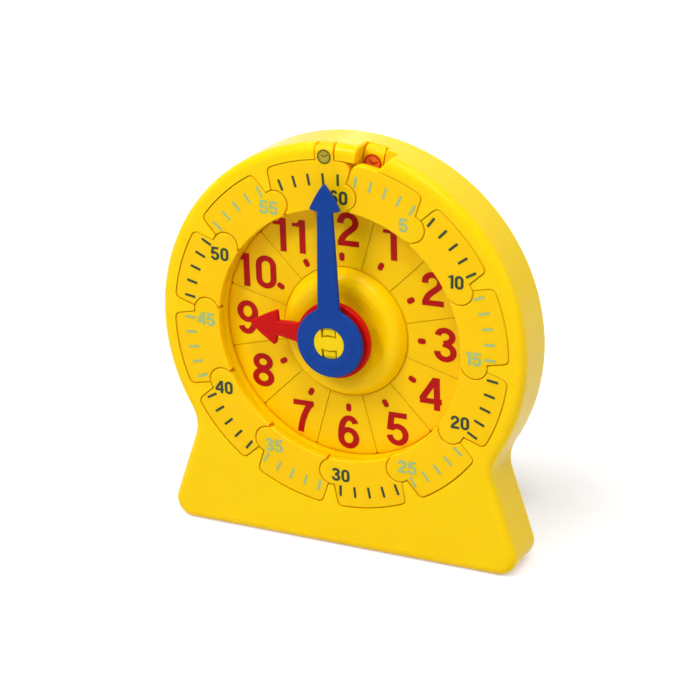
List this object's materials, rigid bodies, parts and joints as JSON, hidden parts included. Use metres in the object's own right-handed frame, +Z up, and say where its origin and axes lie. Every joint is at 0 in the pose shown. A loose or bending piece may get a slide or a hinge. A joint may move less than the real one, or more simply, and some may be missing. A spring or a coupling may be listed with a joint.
{
  "type": "geared teaching clock",
  "caption": "Free-standing teaching clock: a round casing on a splayed foot, hinged minute and hour number rings, and two geared hands.",
  "frame": {"origin": "centre of the flat base: mid width, mid casing depth, at the surface it stands on", "axes": "+X to the clock's right seen from the front, +Y from the front face to the back, +Z up"},
  "size_m": [0.13, 0.0246, 0.14],
  "materials": {
    "casing_yellow": "injection moulded, smooth satin gloss",
    "line_yellow": "injection moulded, smooth, printed ticks and numbers",
    "tile_yellow": "injection moulded, smooth, printed hour numbers",
    "arbor_yellow": "injection moulded, glossy",
    "hand_blue": "injection moulded, satin",
    "hand_red": "injection moulded, satin",
    "gear_white": "natural acetal, low gloss",
    "screw_steel": "zinc plated"
  },
  "bodies": {
    "housing": {"front_housing": "casing_yellow", "rear_cover": "casing_yellow", "cover_screws": "screw_steel"},
    "minute_train": {"minute_hand": "hand_blue", "minute_arbor": "arbor_yellow"},
    "hour_train": {"hour_hand": "hand_red", "hour_wheel": "gear_white"},
    "reduction_train": {"reduction_gear": "gear_white"},
    "minute_line": {"minute_link_05": "line_yellow", "minute_link_10": "line_yellow", "minute_link_15": "line_yellow", "minute_link_20": "line_yellow", "minute_link_25": "line_yellow", "minute_link_30": "line_yellow", "minute_link_35": "line_yellow", "minute_link_40": "line_yellow", "minute_link_45": "line_yellow", "minute_link_50": "line_yellow", "minute_link_55": "line_yellow", "minute_link_60": "line_yellow"},
    "hour_line": {"hour_tile_01": "tile_yellow", "hour_tile_02": "tile_yellow", "hour_tile_03": "tile_yellow", "hour_tile_04": "tile_yellow", "hour_tile_05": "tile_yellow", "hour_tile_06": "tile_yellow", "hour_tile_07": "tile_yellow", "hour_tile_08": "tile_yellow", "hour_tile_09": "tile_yellow", "hour_tile_10": "tile_yellow", "hour_tile_11": "tile_yellow", "hour_tile_12": "tile_yellow"}
  },
  "joints": [
    {"name": "minute_hand_turn", "type": "hinge", "parent": "housing", "child": "minute_train", "pos_m": [0, 0, 0.075], "axis": [0, 1, 0], "continuous": true},
    {"name": "hour_hand_turn", "type": "hinge", "parent": "housing", "child": "hour_train", "pos_m": [0, 0, 0.075], "axis": [0, 1, 0], "continuous": true},
    {"name": "reduction_gear_turn", "type": "hinge", "parent": "housing", "child": "reduction_train", "pos_m": [0, 0, 0.051], "axis": [0, 1, 0], "continuous": true},
    {"name": "minute_line_lift", "type": "slide", "parent": "housing", "child": "minute_line", "axis": [0, -1, 0], "range_m": [0, 0.0032]},
    {"name": "hour_line_lift", "type": "slide", "parent": "housing", "child": "hour_line", "axis": [0, -1, 0], "range_m": [0, 0.0032]}
  ],
  "couplings": [
    {"joint": "hour_hand_turn", "follows": "minute_hand_turn", "ratio": 0.083333},
    {"joint": "reduction_gear_turn", "follows": "minute_hand_turn", "ratio": -0.33333}
  ]
}
